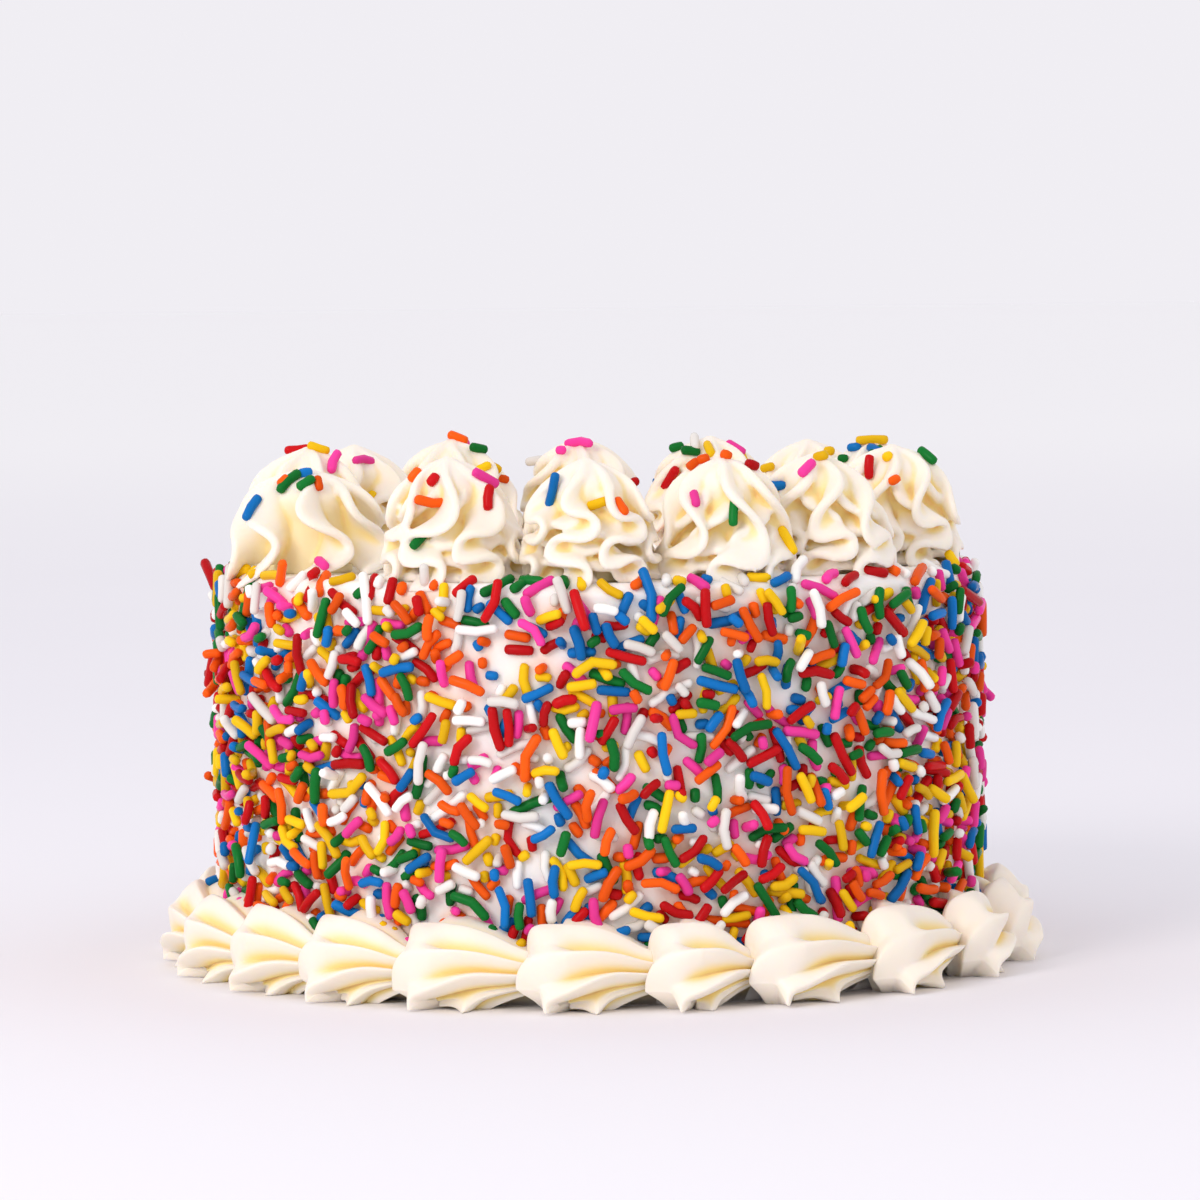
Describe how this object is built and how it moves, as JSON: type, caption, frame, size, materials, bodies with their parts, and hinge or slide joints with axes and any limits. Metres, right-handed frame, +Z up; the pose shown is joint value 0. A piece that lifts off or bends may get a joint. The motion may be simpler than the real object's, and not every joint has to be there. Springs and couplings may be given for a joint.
{
  "type": "rainbow cake",
  "caption": "Round iced cake with rainbow sprinkles pressed into its side, piped swirls round the top edge and a border of piped scrolls round the foot.",
  "frame": {"origin": "centre of the cake's flat underside, on the surface it stands on", "axes": "+Z up, -Y the front shown in the picture, +X to the right of the front"},
  "size_m": [0.1935, 0.1937, 0.1122],
  "materials": {
    "side_icing": "soft matte icing",
    "piped_icing": "satin piped icing",
    "red_sugar": "semi-gloss sugar",
    "orange_sugar": "semi-gloss sugar",
    "yellow_sugar": "semi-gloss sugar",
    "green_sugar": "semi-gloss sugar",
    "blue_sugar": "semi-gloss sugar",
    "pink_sugar": "semi-gloss sugar",
    "white_sugar": "semi-gloss sugar"
  },
  "bodies": {
    "root": {"cake": "side_icing", "swirl_01": "piped_icing", "swirl_02": "piped_icing", "swirl_03": "piped_icing", "swirl_04": "piped_icing", "swirl_05": "piped_icing", "swirl_06": "piped_icing", "swirl_07": "piped_icing", "swirl_08": "piped_icing", "swirl_09": "piped_icing", "swirl_10": "piped_icing", "swirl_11": "piped_icing", "swirl_12": "piped_icing", "swirl_13": "piped_icing", "scroll_01": "piped_icing", "scroll_02": "piped_icing", "scroll_03": "piped_icing", "scroll_04": "piped_icing", "scroll_05": "piped_icing", "scroll_06": "piped_icing", "scroll_07": "piped_icing", "scroll_08": "piped_icing", "scroll_09": "piped_icing", "scroll_10": "piped_icing", "scroll_11": "piped_icing", "scroll_12": "piped_icing", "scroll_13": "piped_icing", "scroll_14": "piped_icing", "scroll_15": "piped_icing", "scroll_16": "piped_icing", "scroll_17": "piped_icing", "scroll_18": "piped_icing", "scroll_19": "piped_icing", "scroll_20": "piped_icing", "scroll_21": "piped_icing", "scroll_22": "piped_icing"}
  },
  "joints": []
}
